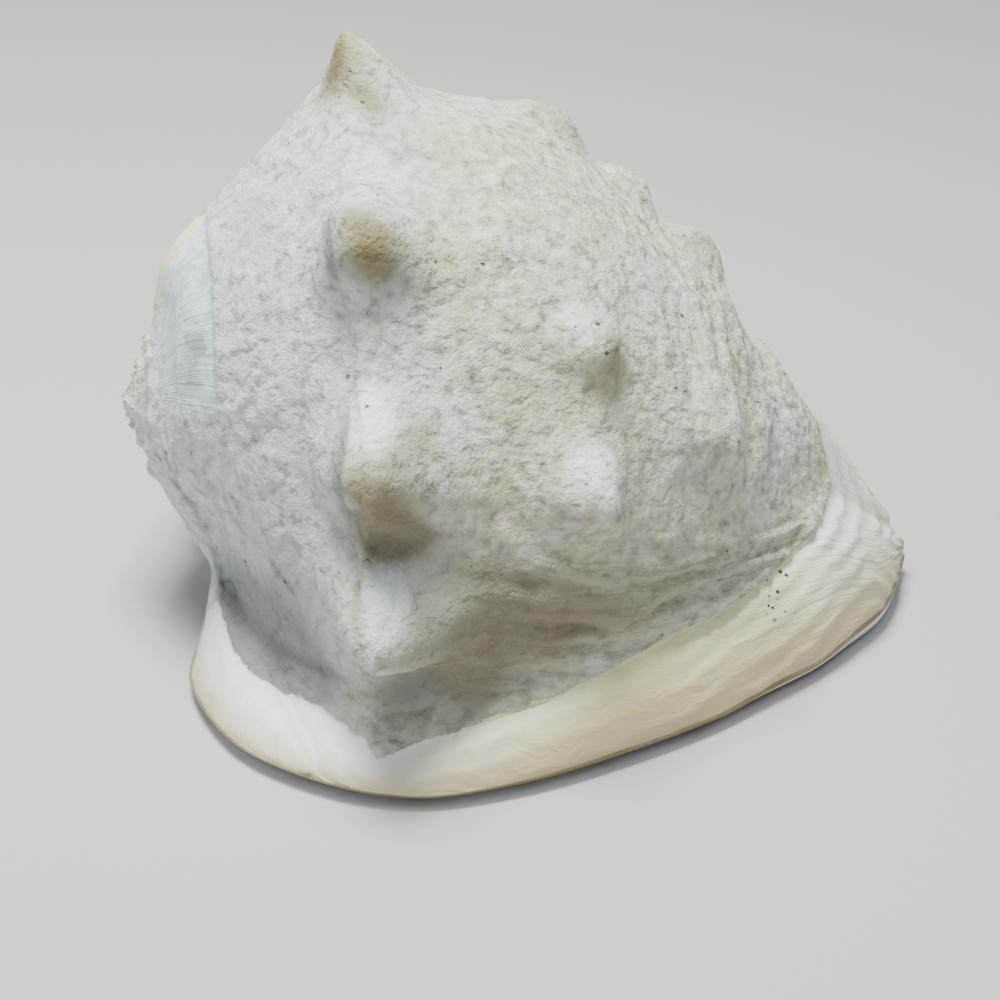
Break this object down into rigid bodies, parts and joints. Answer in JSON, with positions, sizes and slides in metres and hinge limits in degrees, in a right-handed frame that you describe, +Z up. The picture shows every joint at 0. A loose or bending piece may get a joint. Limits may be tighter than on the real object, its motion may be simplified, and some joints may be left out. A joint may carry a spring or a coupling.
{
  "type": "horned helmet sea shell",
  "caption": "Large heavy sea shell with a low spire, blunt shoulder horns, a long toothed opening below and a thick rolled outer lip.",
  "frame": {"origin": "centre of the bounding box on the plane the shell rests on", "axes": "+X from the spire towards the siphonal canal, -Y towards the outer lip, +Z up from the opening side to the back"},
  "size_m": [0.2335, 0.2105, 0.1641],
  "materials": {
    "shell": "chalky on the back, satin on the lip"
  },
  "bodies": {
    "root": {"helmet_shell": "shell"}
  },
  "joints": []
}
